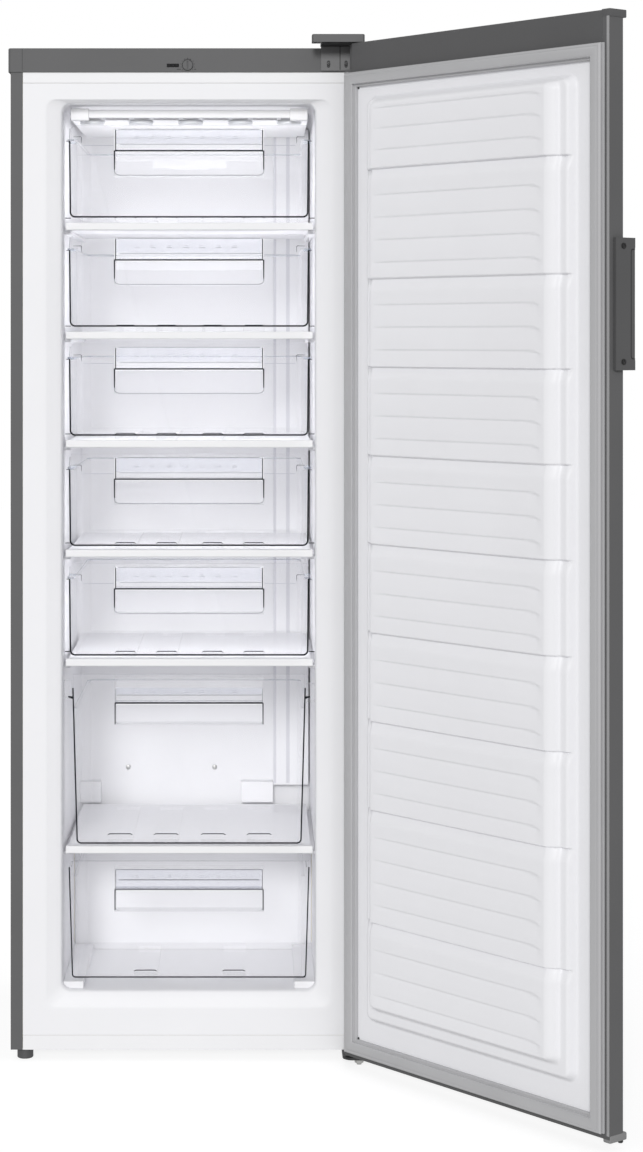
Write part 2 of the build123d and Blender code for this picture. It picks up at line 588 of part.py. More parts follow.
# the outlet runs down the left edge and into the filter drier
pts += [(-256, CON_Y, z), (-256, CON_Y, 262), (-78, CON_Y, 262), (-78, 505, 262), (-78, 505, 243)]
rad += [16.0, 16.0, 16.0, 15.0]
condenser = tube(pts, rad, 2.5)
save("condenser_tube", condenser)
wires = []
n = 26
for i in range(n):
    x = -200 + i * 400.0 / (n - 1)
    wires.append(cz(x, CON_Y + 2.5 + 0.75, CON_Z0 + 16, CON_ZTOP + 14, 0.7))
save("condenser_wires", wires)
clips = []
for k in (1, RUNS - 2):
    zc = CON_Z0 + 28 + k * PITCH
    for x in (-192, 192):
        c = bx(x - 7, x + 7, DEPTH + SHEET, CON_Y + 1.5, zc - 8, zc + 8)
        c = c + bx(x - 7, x + 7, DEPTH + SHEET, DEPTH + SHEET + 2, zc - 16, zc + 16)
        clips.append(c - cx(CON_Y, zc, x - 10, x + 10, 2.55))
save("condenser_clips", clips)
print("done")
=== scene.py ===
import bpy, bmesh, math
from mathutils import Vector, Matrix


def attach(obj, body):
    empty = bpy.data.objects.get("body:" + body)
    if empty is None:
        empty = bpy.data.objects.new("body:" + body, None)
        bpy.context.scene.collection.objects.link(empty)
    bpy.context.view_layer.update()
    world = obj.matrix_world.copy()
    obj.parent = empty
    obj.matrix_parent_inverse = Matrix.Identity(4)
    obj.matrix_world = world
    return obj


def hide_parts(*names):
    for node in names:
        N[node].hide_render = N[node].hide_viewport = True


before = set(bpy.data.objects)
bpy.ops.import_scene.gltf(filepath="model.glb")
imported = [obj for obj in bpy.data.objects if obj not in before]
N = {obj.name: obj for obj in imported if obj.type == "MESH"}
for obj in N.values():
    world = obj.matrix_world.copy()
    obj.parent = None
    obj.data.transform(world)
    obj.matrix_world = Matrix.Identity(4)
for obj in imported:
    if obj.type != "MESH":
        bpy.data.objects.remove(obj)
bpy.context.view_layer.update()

scene = bpy.context.scene
pi = math.pi

# cabinet frame in millimetres (X = 0 cabinet centre, Y = 0 front plane, Z = 0 floor)
OX, OY = -274.3, 22.0
HX, HY, OPEN = 283.4, -33.2, math.radians(129.3)
DOOR_IN = -13.0


def P(x, y, z):
    return Vector(((x - OX) / 1000, (y - OY) / 1000, z / 1000))


def DP(x, y, z):
    """A point drawn on the closed door, turned to where the door stands at rest."""
    c, s = math.cos(OPEN), math.sin(OPEN)
    dx, dy = x - HX, y - HY
    return P(HX + dx * c - dy * s, HY + dx * s + dy * c, z)


def UV(u, v, z):
    """Door point: u from the hinge edge, v out of the inner face."""
    return DP(297.0 - u, DOOR_IN + v, z)


def door_dir(x, y, z):
    c, s = math.cos(OPEN), math.sin(OPEN)
    return Vector((x * c - y * s, x * s + y * c, z))


# ------------------------------------------------------------------ camera
cam_data = bpy.data.cameras.new("camera")
cam = bpy.data.objects.new("camera", cam_data)
scene.collection.objects.link(cam)
cam.location = P(114.3, -4320.9, 1203.9)
cam.rotation_euler = (pi / 2, 0, 0)
cam_data.sensor_width = 36.0
cam_data.sensor_fit = "AUTO"
cam_data.lens = 80.88
cam_data.shift_x = 64.5 / 1152
cam_data.shift_y = -236.6 / 1152
cam_data.clip_end = 60
scene.camera = cam


# ------------------------------------------------------------------ materials
def new_mat(name):
    m = bpy.data.materials.new(name)
    m.use_nodes = True
    nt = m.node_tree
    return m, nt, nt.nodes["Principled BSDF"]


def tex_coord(nt, scale=(1, 1, 1)):
    co = nt.nodes.new("ShaderNodeTexCoord")
    mp = nt.nodes.new("ShaderNodeMapping")
    mp.inputs["Scale"].default_value = scale
    nt.links.new(co.outputs["Object"], mp.inputs["Vector"])
    return mp.outputs["Vector"]


def noise(nt, vec, scale, detail=3.0, rough=0.55):
    n = nt.nodes.new("ShaderNodeTexNoise")
    n.inputs["Scale"].default_value = scale
    n.inputs["Detail"].default_value = detail
    n.inputs["Roughness"].default_value = rough
    nt.links.new(vec, n.inputs["Vector"])
    return n.outputs["Fac"]


def remap(nt, fac, a, b, lo=0.3, hi=0.7):
    r = nt.nodes.new("ShaderNodeMapRange")
    r.inputs["From Min"].default_value = lo
    r.inputs["From Max"].default_value = hi
    r.inputs["To Min"].default_value = a
    r.inputs["To Max"].default_value = b
    nt.links.new(fac, r.inputs["Value"])
    return r.outputs["Result"]


def tint(nt, fac, c0, c1, lo=0.3, hi=0.7):
    r = nt.nodes.new("ShaderNodeValToRGB")
    r.color_ramp.elements[0].position = lo
    r.color_ramp.elements[1].position = hi
    r.color_ramp.elements[0].color = (*c0, 1)
    r.color_ramp.elements[1].color = (*c1, 1)
    nt.links.new(fac, r.inputs["Fac"])
    return r.outputs["Color"]


def bump(nt, bsdf, height, strength, dist):
    b = nt.nodes.new("ShaderNodeBump")
    b.inputs["Strength"].default_value = strength
    b.inputs["Distance"].default_value = dist
    nt.links.new(height, b.inputs["Height"])
    nt.links.new(b.outputs["Normal"], bsdf.inputs["Normal"])


def plain(name, col, var=0.03, rough=0.4, rvar=0.06, metallic=0.0, grain=900.0, gstr=0.05, gdist=0.0002,
          cloud=6.0, scale=(1, 1, 1), coat=0.0, spec=0.5):
    """Base finish: cloudy colour and roughness variation over a fine grain bump."""
    m, nt, b = new_mat(name)
    vec = tex_coord(nt, scale)
    cl = noise(nt, vec, cloud, 4)
    c0 = tuple(max(0.0, c * (1 - var)) for c in col)
    c1 = tuple(min(1.0, c * (1 + var)) for c in col)
    nt.links.new(tint(nt, cl, c0, c1), b.inputs["Base Color"])
    gr = noise(nt, vec, grain, 2)
    nt.links.new(remap(nt, gr, rough - rvar, rough + rvar), b.inputs["Roughness"])
    bump(nt, b, gr, gstr, gdist)
    b.inputs["Metallic"].default_value = metallic
    b.inputs["Coat Weight"].default_value = coat
    b.inputs["Specular IOR Level"].default_value = spec
    return m


M = {}
M["grey"] = plain("grey_paint", (0.112, 0.112, 0.114), 0.04, 0.55, 0.05, 0.0, 1400, 0.10, 0.00015, spec=0.3)
M["skin"] = plain("door_paint", (0.112, 0.112, 0.114), 0.04, 0.55, 0.05, 0.0, 1400, 0.10, 0.00015, spec=0.3)
# a lighter copy of the door paint: painted highlight on the folded sheet edge of the free side
M["fold"] = plain("fold_painted_highlight", (0.33, 0.33, 0.335), 0.05, 0.42, 0.06, 0.0, 900, 0.05, 0.0001, scale=(1, 1, 0.1))
M["cap"] = plain("cap_plastic", (0.088, 0.088, 0.090), 0.04, 0.50, 0.06, 0.0, 1600, 0.16, 0.00015)
M["handle"] = plain("handle_plastic", (0.078, 0.078, 0.080), 0.05, 0.38, 0.05, 0.0, 1600, 0.10, 0.00012)
# near black for the worktop's seams, and for painted shade and shadow strips at the hinge and the handle
M["dark"] = plain("dark_seam_and_painted_shade", (0.012, 0.012, 0.013), 0.05, 0.55, 0.06, 0.0, 1600, 0.1, 0.00012)
M["hinge"] = plain("hinge_paint", (0.105, 0.105, 0.107), 0.05, 0.42, 0.06, 0.1, 1000, 0.10, 0.00015)
M["white_paint"] = plain("white_paint", (0.83, 0.83, 0.845), 0.012, 0.46, 0.05, 0.0, 900, 0.05, 0.0001, spec=0.3)
M["liner"] = plain("liner_plastic", (0.83, 0.83, 0.85), 0.012, 0.48, 0.06, 0.0, 420, 0.05, 0.00025, spec=0.3)
M["door_liner"] = plain("door_liner_plastic", (0.82, 0.82, 0.845), 0.012, 0.44, 0.06, 0.0, 420, 0.05, 0.00025, spec=0.3)
M["trim"] = plain("white_trim", (0.86, 0.86, 0.87), 0.01, 0.42, 0.04, 0.0, 700, 0.04, 0.0001, spec=0.3)
M["tube"] = plain("coated_tube", (0.84, 0.85, 0.87), 0.03, 0.35, 0.08, 0.0, 500, 0.15, 0.0003)
M["gasket"] = plain("gasket_vinyl", (0.44, 0.44, 0.45), 0.03, 0.52, 0.06, 0.0, 1100, 0.12, 0.0002, scale=(1, 1, 0.6))
M["magnet"] = plain("ferrite_strip", (0.03, 0.03, 0.03), 0.1, 0.6, 0.1, 0.0, 800, 0.2, 0.0002)
M["foam"] = plain("pale_foam", (0.80, 0.74, 0.52), 0.10, 0.85, 0.08, 0.0, 600, 0.5, 0.0008, cloud=20)
M["black"] = plain("black_plastic", (0.018, 0.018, 0.019), 0.15, 0.48, 0.08, 0.0, 1500, 0.2, 0.0002)
M["foot"] = plain("foot_plastic", (0.075, 0.075, 0.077), 0.10, 0.5, 0.08, 0.0, 1500, 0.2, 0.0002)
M["rubber"] = plain("black_rubber", (0.016, 0.016, 0.016), 0.2, 0.75, 0.08, 0.0, 900, 0.3, 0.0003)
M["enamel"] = plain("black_enamel", (0.012, 0.012, 0.013), 0.2, 0.28, 0.07, 0.0, 260, 0.12, 0.0004, coat=0.3)
M["mark"] = plain("dark_print", (0.016, 0.016, 0.017), 0.05, 0.5, 0.05, 0.0, 900, 0.05, 0.0001)
# dark, grey and pale line colours: painted shade on the clear plastic's edges; the white one below is a painted
# highlight
M["edge_line"] = plain("painted_shade_dark_edge", (0.012, 0.013, 0.017), 0.05, 0.5, 0.05, 0.0, 900, 0.05, 0.0001, spec=0.1)
M["edge_grey"] = plain("plastic_edge_grey", (0.20, 0.205, 0.225), 0.05, 0.5, 0.05, 0.0, 900, 0.05, 0.0001, spec=0.1)
M["edge_pale"] = plain("plastic_edge_pale", (0.50, 0.51, 0.55), 0.04, 0.5, 0.05, 0.0, 900, 0.05, 0.0001, spec=0.1)
# pale grey for the painted shade along the duct cover's folds
M["edge_mist"] = plain("plastic_edge_mist", (0.66, 0.66, 0.70), 0.04, 0.5, 0.05, 0.0, 900, 0.05, 0.0001, spec=0.1)
M["edge_white"] = plain("plastic_edge_white", (0.88, 0.88, 0.89), 0.01, 0.5, 0.05, 0.0, 900, 0.05, 0.0001, spec=0.1)
M["cap_light"] = plain("cap_plastic_light", (0.22, 0.22, 0.222), 0.04, 0.45, 0.06, 0.0, 1600, 0.12, 0.00015)
M["lens"] = plain("lamp_lens", (0.012, 0.012, 0.013), 0.1, 0.5, 0.03, 0.0, 900, 0.02, 0.0001, spec=0.1)
M["screw"] = plain("dark_screw", (0.035, 0.035, 0.036), 0.1, 0.35, 0.08, 0.6, 900, 0.1, 0.0001)


def galvanised():
    m, nt, b = new_mat("galvanised_sheet")
    vec = tex_coord(nt)
    v = nt.nodes.new("ShaderNodeTexVoronoi")
    v.inputs["Scale"].default_value = 55
    nt.links.new(vec, v.inputs["Vector"])
    sep = nt.nodes.new("ShaderNodeSeparateColor")
    nt.links.new(v.outputs["Color"], sep.inputs["Color"])
    nt.links.new(tint(nt, sep.outputs[0], (0.42, 0.43, 0.44), (0.60, 0.61, 0.62), 0.1, 0.9), b.inputs["Base Color"])
    nt.links.new(remap(nt, sep.outputs[1], 0.36, 0.52, 0.0, 1.0), b.inputs["Roughness"])
    b.inputs["Metallic"].default_value = 0.85
    bump(nt, b, noise(nt, vec, 700, 2), 0.06, 0.0002)
    return m


def metal(name, col, rough, stretch=(1, 1, 12)):
    m, nt, b = new_mat(name)
    vec = tex_coord(nt, stretch)
    n1 = noise(nt, vec, 180, 4)
    nt.links.new(tint(nt, n1, tuple(c * 0.86 for c in col), col), b.inputs["Base Color"])
    nt.links.new(remap(nt, n1, rough - 0.08, rough + 0.1), b.inputs["Roughness"])
    b.inputs["Metallic"].default_value = 1.0
    bump(nt, b, n1, 0.08, 0.0002)
    return m


def clear(name, col, a0, a1, rough, power=2.2, wave=0.05):
    """Clear moulded plastic: nearly invisible face on, denser at a glancing angle."""
    m, nt, b = new_mat(name)
    vec = tex_coord(nt)
    nt.links.new(tint(nt, noise(nt, vec, 9, 3), tuple(c * 0.97 for c in col), col), b.inputs["Base Color"])
    lw = nt.nodes.new("ShaderNodeLayerWeight")
    lw.inputs["Blend"].default_value = 0.5
    pw = nt.nodes.new("ShaderNodeMath")
    pw.operation = "POWER"
    pw.inputs[1].default_value = power
    nt.links.new(lw.outputs["Facing"], pw.inputs[0])
    nt.links.new(remap(nt, pw.outputs[0], a0, a1, 0.0, 1.0), b.inputs["Alpha"])
    nt.links.new(remap(nt, noise(nt, vec, 300, 2), rough - 0.03, rough + 0.03), b.inputs["Roughness"])
    bump(nt, b, noise(nt, vec, 22, 2), wave, 0.002)
    return m


M["galv"] = galvanised()
M["zinc"] = metal("zinc_steel", (0.55, 0.55, 0.54), 0.35)
M["copper"] = metal("copper_pipe", (0.80, 0.42, 0.27), 0.28)
M["clear"] = clear("clear_plastic", (0.885, 0.885, 0.91), 0.04, 0.38, 0.22)
M["clear_tub"] = clear("clear_tub", (0.885, 0.885, 0.91), 0.03, 0.26, 0.12)
M["band"] = clear("clear_band", (0.60, 0.63, 0.76), 0.16, 0.4, 0.30, 2.2, 0.005)
# dark tinted copies of the clear plastic for its thin edge faces, lip and rims: painted shade for light bent at the
# moulded edges
M["edge"] = clear("clear_painted_edge_shade", (0.14, 0.16, 0.21), 0.70, 0.9, 0.2, 1.0)
M["edge_soft"] = clear("clear_soft_painted_edge_shade", (0.30, 0.34, 0.42), 0.45, 0.7, 0.2, 1.0)


# ------------------------------------------------------------------ mesh helpers
def link(name, me, mats, body, reps=()):
    ob = bpy.data.objects.new(name, me)
    scene.collection.objects.link(ob)
    for m in mats if isinstance(mats, (list, tuple)) else [mats]:
        me.materials.append(m)
    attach(ob, body)
    if reps:
        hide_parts(*reps)
    return ob


def apply_mods(ob):
    dg = bpy.context.evaluated_depsgraph_get()
    ob_eval = ob.evaluated_get(dg)
    me = bpy.data.meshes.new_from_object(ob_eval)
    old = ob.data
    ob.modifiers.clear()
    ob.data = me
    bpy.data.meshes.remove(old)


def smooth(me, angle=32):
    for p in me.polygons:
        p.use_smooth = True
    try:
        me.set_sharp_from_angle(angle=math.radians(angle))
    except Exception:
        pass


def clean_copy(node):
    """The node's mesh as a new bmesh with flat faces merged."""
    bm = bmesh.new()
    bm.from_mesh(N[node].data)
    bmesh.ops.remove_doubles(bm, verts=bm.verts, dist=2e-6)
    bmesh.ops.dissolve_limit(bm, angle_limit=math.radians(0.6), verts=bm.verts, edges=bm.edges)
    return bm


def soften(node, name, mats, body, width=0.8, segs=2, classify=None, angle=30, limit=28):
    """Stand-in for a CAD piece with its moulded or pressed edges rounded."""
    bm = clean_copy(node)
    me = bpy.data.meshes.new(name)
    bm.to_mesh(me)
    bm.free()
    mats = mats if isinstance(mats, (list, tuple)) else [mats]
    ob = link(name, me, mats, body, (node,))
    if width:
        bv = ob.modifiers.new("bevel", "BEVEL")
        bv.width = width / 1000
        bv.segments = segs
        bv.limit_method = "ANGLE"
        bv.angle_limit = math.radians(limit)
        bv.use_clamp_overlap = True
        bv.harden_normals = False
        apply_mods(ob)
        ob.data.materials.clear()
        for m in mats:
            ob.data.materials.append(m)
    smooth(ob.data, angle)
    wn = ob.modifiers.new("flat_faces", "WEIGHTED_NORMAL")
    wn.keep_sharp = True
    wn.weight = 100
    apply_mods(ob)
    ob.data.materials.clear()
    for m in mats:
        ob.data.materials.append(m)
    if classify:
        for p in ob.data.polygons:
            p.material_index = classify(p)
    return ob


def to_obj(bm, name, mats, body, reps=(), angle=32):
    bmesh.ops.recalc_face_normals(bm, faces=bm.faces)
    me = bpy.data.meshes.new(name)
    bm.to_mesh(me)
    bm.free()
    ob = link(name, me, mats, body, reps)
    smooth(me, angle)
    return ob


def ring_tube(bm, loops, cap0=True, cap1=True, close=False):
    """Skin a list of closed point loops."""
    rows = [[bm.verts.new(p) for p in lp] for lp in loops]
    n = len(rows[0])
    pairs = list(zip(rows, rows[1:]))
    if close:
        pairs.append((rows[-1], rows[0]))
    for a, b in pairs:
        for i in range(n):
            j = (i + 1) % n
            bm.faces.new((a[i], a[j], b[j], b[i]))
    if not close:
        if cap0:
            bm.faces.new(rows[0][::-1])
        if cap1:
            bm.faces.new(rows[-1])
    return rows


def disc_ring(c, ax, r, n=24, up=Vector((0, 0, 1))):
    ax = ax.normalized()
    e1 = ax.cross(up)
    if e1.length < 1e-4:
        e1 = ax.cross(Vector((1, 0, 0)))
    e1.normalize()
    e2 = ax.cross(e1)
    return [c + e1 * (r * math.cos(2 * pi * i / n)) + e2 * (r * math.sin(2 * pi * i / n)) for i in range(n)]


def turned(bm, c, ax, prof, n=28):
    """A turned solid: prof lists (distance along the axis, radius) in millimetres."""
    ax = ax.normalized()
    ring_tube(bm, [disc_ring(c + ax * (d / 1000), ax, max(r, 0.02) / 1000, n) for d, r in prof])


# ------------------------------------------------------------------ plain carried pieces
def give(node, mat):
    ob = N[node]
    ob.data.materials.clear()
    ob.data.materials.append(M[mat])


for node, mat in {
    "insulation_foam": "foam", "thermostat_body": "black", "hinge_pins": "zinc",
    "riser_pipe": "tube", "door_hinge_bushes": "black", "gasket_magnets": "magnet",
    "compressor_grommets": "rubber", "refrigerant_pipes": "copper", "filter_drier": "copper",
    "condenser_tube": "enamel", "condenser_wires": "enamel", "back_panel": "galv",
}.items():
    give(node, mat)

# the ceiling evaporator's runs are pressed into their plate behind the front bends
bm = bmesh.new()
bm.from_mesh(N["evaporator_tubes"].data)
bmesh.ops.remove_doubles(bm, verts=bm.verts, dist=2e-6)
for yy in (84, 90, 96, 102, 108):
    bmesh.ops.bisect_plane(bm, geom=bm.verts[:] + bm.edges[:] + bm.faces[:], plane_co=P(0, yy, 0), plane_no=(0, 1, 0))
for v in bm.verts:
    if v.co.z > 1.55:
        t = min(1.0, max(0.0, (v.co.y * 1000 + OY - 84) / 24))
        v.co.z += 0.0082 * t * t * (3 - 2 * t)
to_obj(bm, "evaporator_coils", M["tube"], "cabinet", ("evaporator_tubes",), angle=40)

soften("side_panel_left", "side_panel_left_sheet", M["grey"], "cabinet", 0.35, 2)
soften("side_panel_right", "side_panel_right_sheet", M["grey"], "cabinet", 0.35, 2)
soften("base_plate", "base_plate_sheet", M["galv"], "cabinet", 0.3, 2)
soften("compressor_tray", "compressor_tray_sheet", M["galv"], "cabinet", 0.4, 2)
soften("front_rails", "front_rail_strips", M["white_paint"], "cabinet", 0.4, 2)
soften("top_panel", "worktop_shell", M["grey"], "cabinet", 0.5, 2)
soften("hinge_cover", "hinge_cover_shell", M["cap"], "cabinet", 1.0, 3)
soften("top_hinge_bracket", "top_hinge_plate", M["hinge"], "cabinet", 0.6, 2)
soften("bottom_hinge_bracket", "bottom_hinge_plate", M["black"], "cabinet", 0.8, 2)
soften("shelf_front_bars", "shelf_bar_trims", M["trim"], "cabinet", 0.9, 3)
soften("shelf_sleeves", "shelf_plates", M["liner"], "cabinet", 0.4, 2)
soften("top_evaporator_sheet", "ceiling_plate", M["trim"], "cabinet", 0.2, 1)
soften("top_evaporator_bar", "ceiling_bar", M["trim"], "cabinet", 1.0, 3)
soften("pipe_duct_cover", "duct_cover_shell", M["liner"], "cabinet", 0.7, 2)
soften("drawer_rails", "drawer_guides", [M["liner"], M["clear"]], "cabinet", 1.0, 3,
       lambda p: 1 if 585 < p.center.z * 1000 < 640 else 0)
soften("rear_feet", "rear_foot_pads", M["foot"], "cabinet", 0.8, 2)
soften("compressor", "compressor_shell", M["enamel"], "cabinet", 0.8, 2)
soften("start_relay_box", "relay_housing", M["black"], "cabinet", 0.9, 2)
soften("condenser_clips", "condenser_clip_blocks", M["black"], "cabinet", 0.6, 2)
soften("levelling_foot_left", "foot_left_turned", M["foot"], "front_foot_left", 0.5, 2)
soften("levelling_foot_right", "foot_right_turned", M["foot"], "front_foot_right", 0.5, 2)
soften("thermostat_dial", "coin_slot_dial", M["grey"], "thermostat_knob", 0.3, 2)
soften("indicator_lamps", "lamp_lenses", M["lens"], "cabinet", 0.35, 2)

INNER = door_dir(0, 1, 0)

# the door's filling, set a little behind the liner's pressed grooves
bm = bmesh.new()
bm.from_mesh(N["door_foam"].data)
V0 = UV(0, 0, 0)
for vt in bm.verts:
    d = (vt.co - V0).dot(INNER) * 1000
    if d > -3:
        vt.co = vt.co - INNER * (min(d + 3, 8.5) / 1000)
to_obj(bm, "door_filling", M["foam"], "door", ("door_foam",), 30)


soften("door_skin", "door_skin_sheet", M["skin"], "door", 0.3, 2)
soften("door_top_cap", "door_cap_upper", M["cap"], "door", 0.6, 2)
soften("door_bottom_cap", "door_cap_lower", M["cap"], "door", 0.6, 2)
soften("door_handle", "door_handle_grip", M["handle"], "door", 1.0, 3)
soften("handle_screws", "handle_screw_heads", M["screw"], "door", 0.25, 2)

# ------------------------------------------------------------------ clear drawers
DR = [
    ("drawer_1", 1409.0, 155.0, 132.0, 43.0), ("drawer_2", 1225.4, 155.0, 132.0, 43.0),
    ("drawer_3", 1042.0, 155.0, 132.0, 43.0), ("drawer_4", 856.5, 155.0, 132.0, 43.0),
    ("drawer_5", 672.0, 155.0, 132.0, 43.0), ("drawer_6", 355.5, 285.0, 229.0, 48.0),
    ("drawer_7", 130.1, 196.0, 172.0, 48.0),
]
Y34, Y37 = (34.0 - OY) / 1000, (37.0 - OY) / 1000
for dname, z0, h, rim, lip in DR:
    zt = z0 + h

    # the zone masks pick the front edge faces and the lip faces that take the painted edge shade
    def front_zone(p, z0=z0, zt=zt, lip=lip):
        c, n = p.center, p.normal
        if abs(n.y) > 0.6:
            return 0
        if c.y < Y37 + 0.0006:
            return 1
        if abs(c.z * 1000 - (zt - lip)) < 3.2 and abs(n.z) > 0.5:
            return 2
        return 0

    def tub_zone(p, z0=z0, rim=rim):
        if abs(p.center.z * 1000 - (z0 + rim)) < 2.6 and abs(p.normal.z) < 0.8:
            return 2
        return 0

    soften(dname + "_front", dname + "_face", [M["clear"], M["edge"], M["edge_soft"]], dname, 0.45, 2, front_zone)
    soften(dname + "_tub", dname + "_bin", [M["clear_tub"], M["edge"], M["edge_soft"]], dname, 0.45, 2, tub_zone)


# ------------------------------------------------------------------ inner liner
def rrect_pts(hw, z0, z1, r, y, k=9, nx=6, nz=16):
    """Rounded rectangle loop in the plane Y = y, evenly indexed for skinning."""
    pts = []

    def run(a, b, n):
        for i in range(n):
            t = i / n
            pts.append((a[0] + (b[0] - a[0]) * t, a[1] + (b[1] - a[1]) * t))

    def arc(cx_, cz_, a0):
        for i in range(k):
            a = a0 + (pi / 2) * i / k
            pts.append((cx_ + r * math.cos(a), cz_ + r * math.sin(a)))

    run((-hw + r, z0), (hw - r, z0), nx)
    arc(hw - r, z0 + r, -pi / 2)
    run((hw, z0 + r), (hw, z1 - r), nz)
    arc(hw - r, z1 - r, 0)
    run((hw - r, z1), (-hw + r, z1), nx)
    arc(-hw + r, z1 - r, pi / 2)
    run((-hw, z1 - r), (-hw, z0 + r), nz)
    arc(-hw + r, z0 + r, pi)
    return [P(x, y, z) for x, z in pts]


def throat(s, y, r):
    return rrect_pts(236 - 24 * s, 91 + 23.5 * s, 1604 - 5.5 * s, r, y)


prof = [
    rrect_pts(276.6, 42.6, 1631.6, 1.0, 0.05), throat(-0.30, 0.05, 20), throat(-0.16, 0.05, 18), throat(-0.07, 0.35, 17),
    throat(0.0, 0.8, 16.5), throat(0.06, 1.4, 16), throat(0.13, 2.0, 16), throat(0.5, 5.2, 16), throat(0.84, 8.4, 16),
    throat(0.91, 9.4, 16), throat(0.96, 11.2, 16), throat(0.99, 14.0, 16), throat(1.0, 20, 16), throat(1.0, 60, 16),
    throat(1.0, 250, 16), throat(1.0, 463, 16), throat(1.03, 467.5, 15), throat(1.11, 470.8, 13), throat(1.25, 471.9, 10),
]
bm = bmesh.new()
inner_rows = ring_tube(bm, prof, cap0=False, cap1=True)
me = bpy.data.meshes.new("compartment_liner")
bm.to_mesh(me)
bm.free()
liner = link("compartment_liner", me, M["liner"], "cabinet", ("inner_liner",))
sol = liner.modifiers.new("wall", "SOLIDIFY")
sol.thickness = 0.0018
sol.offset = -1.0
sol.use_even_offset = True
sol.use_rim = True
bm = bmesh.new()
bm.from_mesh(liner.data)
bmesh.ops.recalc_face_normals(bm, faces=bm.faces)
flip = [f for f in bm.faces if f.calc_center_median().y > (400 - OY) / 1000 and abs(f.normal.y) > 0.9]
if flip and flip[0].normal.y > 0:
    bmesh.ops.reverse_faces(bm, faces=bm.faces)
bm.to_mesh(liner.data)
bm.free()
apply_mods(liner)
smooth(liner.data, 40)


def rbox(bm, x0, x1, y0, y1, z0, z1, r=1.5, seg=2, place=P):
    """Box with rounded edges."""
    vs = [bm.verts.new(place(x, y, z)) for x in (x0, x1) for y in (y0, y1) for z in (z0, z1)]
    idx = [(0, 1, 3, 2), (4, 6, 7, 5), (0, 4, 5, 1), (2, 3, 7, 6), (0, 2, 6, 4), (1, 5, 7, 3)]
    fs = [bm.faces.new([vs[i] for i in f]) for f in idx]
    bmesh.ops.recalc_face_normals(bm, faces=fs)
    es = list({e for f in fs for e in f.edges})
    if r:
        bmesh.ops.bevel(bm, geom=es, offset=r / 1000, segments=seg, affect="EDGES", profile=0.5, clamp_overlap=True)


SHELF_TOP = [1400.5, 1217.0, 1034.0, 849.5, 665.5, 350.0]
bm = bmesh.new()
for t in SHELF_TOP:
    z = t - 12.0
    for s in (-1, 1):
        rbox(bm, s * 200.5, s * 213, 62, 430, z - 6, z - 0.05, 1.8, 3)
rbox(bm, -212.6, 212.6, 300, 472.5, 113.5, 333, 5, 4)
to_obj(bm, "liner_ledges", M["liner"], "cabinet")

bm = bmesh.new()
for x in (-124.0, 36.0):
    c = P(x, 472.2, 412)
    turned(bm, c, Vector((0, -1, 0)), [(0, 4.6), (1.2, 4.6), (2.2, 4.0), (2.8, 2.6), (2.9, 0.02)])
to_obj(bm, "back_wall_plugs", M["zinc"], "cabinet")

# ------------------------------------------------------------------ door liner
LEDGES = [1480.7, 1303.0, 1160.0, 1016.5, 873.0, 729.0, 586.0, 442.0, 260.0]
TOPS = [1592.0] + LEDGES
BOTS = LEDGES + [121.0]


STEPS = [1577.0, 1544.0, 1509.5]
for t_, b_ in list(zip(TOPS, BOTS))[1:]:
    for k_ in range(4):
        c_ = t_ - 44 - 36.4 * k_
        if c_ > b_ + 18:
            STEPS.append(c_)


def rr_dist(u, z, u0, u1, z0, z1, r):
    """Signed depth inside a rounded rectangle."""
    cx_, cz_ = (u0 + u1) / 2, (z0 + z1) / 2
    hx, hz = (u1 - u0) / 2 - r, (z1 - z0) / 2 - r
    dx, dz = abs(u - cx_) - hx, abs(z - cz_) - hz
    out = math.hypot(max(dx, 0), max(dz, 0)) + min(max(dx, dz), 0) - r
    return -out


def ramp(d, w, soft=2.4):
    """Rise from 0 to 1 over w, rounded at the foot and the shoulder."""
    t = d / w
    if t <= -soft / w:
        return 0.0
    if t >= 1 + soft / w:
        return 1.0
    s = soft / w
    if t < s:
        q = (t + s) / (2 * s)
        return s * q * q
    if t > 1 - s:
        q = (1 + s - t) / (2 * s)
        return 1 - s * q * q
    return t


def sstep(a, b, x):
    t = min(1.0, max(0.0, (x - a) / (b - a)))
    return t * t * (3 - 2 * t)


def liner_v(u, z):
    a = ramp(rr_dist(u, z, 64, 530, 90, 1601, 18), 8.0)
    b = ramp(rr_dist(u, z, 87, 507, 114.5, 1595, 16), 8.0)
    v = 15 * a + 15 * b
    if a <= 0:
        return v
    inside = sstep(0.55, 0.95, a)
    # ledges: a sharp lower lip over a groove that fades out downwards
    for k in LEDGES:
        if k - 24 < z <= k + 0.6:
            t = (k - z) / 22.0
            g = 1.0 if t < 0 else (1 - t) ** 1.3 if t < 1 else 0.0
            lip = sstep(k + 0.5, k - 1.6, z)
            v -= 6.2 * g * lip * inside
    # shallow steps between the ledges: a sharp lower edge, then a long soft recovery
    if b > 0.98 and 104 < u < 492:
        side = sstep(106, 122, u) * (1 - sstep(468, 486, u))
        droop = 5.0 * sstep(455, 486, u)
        for c in STEPS:
            zz = z + droop
            if c - 26 < zz <= c + 2.6:
                t = (c - zz) / 24.0
                g = 1.0 if t < 0 else (1 - t) ** 1.4 if t < 1 else 0.0
                v -= 1.9 * g * sstep(c + 2.4, c - 0.6, zz) * side
    return v


def lines(a, b, step, extra, near, fine):
    """Grid lines from a to b, finer near the listed places."""
    xs = set()
    x = a
    while x < b:
        xs.add(round(x, 3))
        x += fine if any(abs(x - e) < near for e in extra) else step
    xs.add(b)
    return sorted(xs)


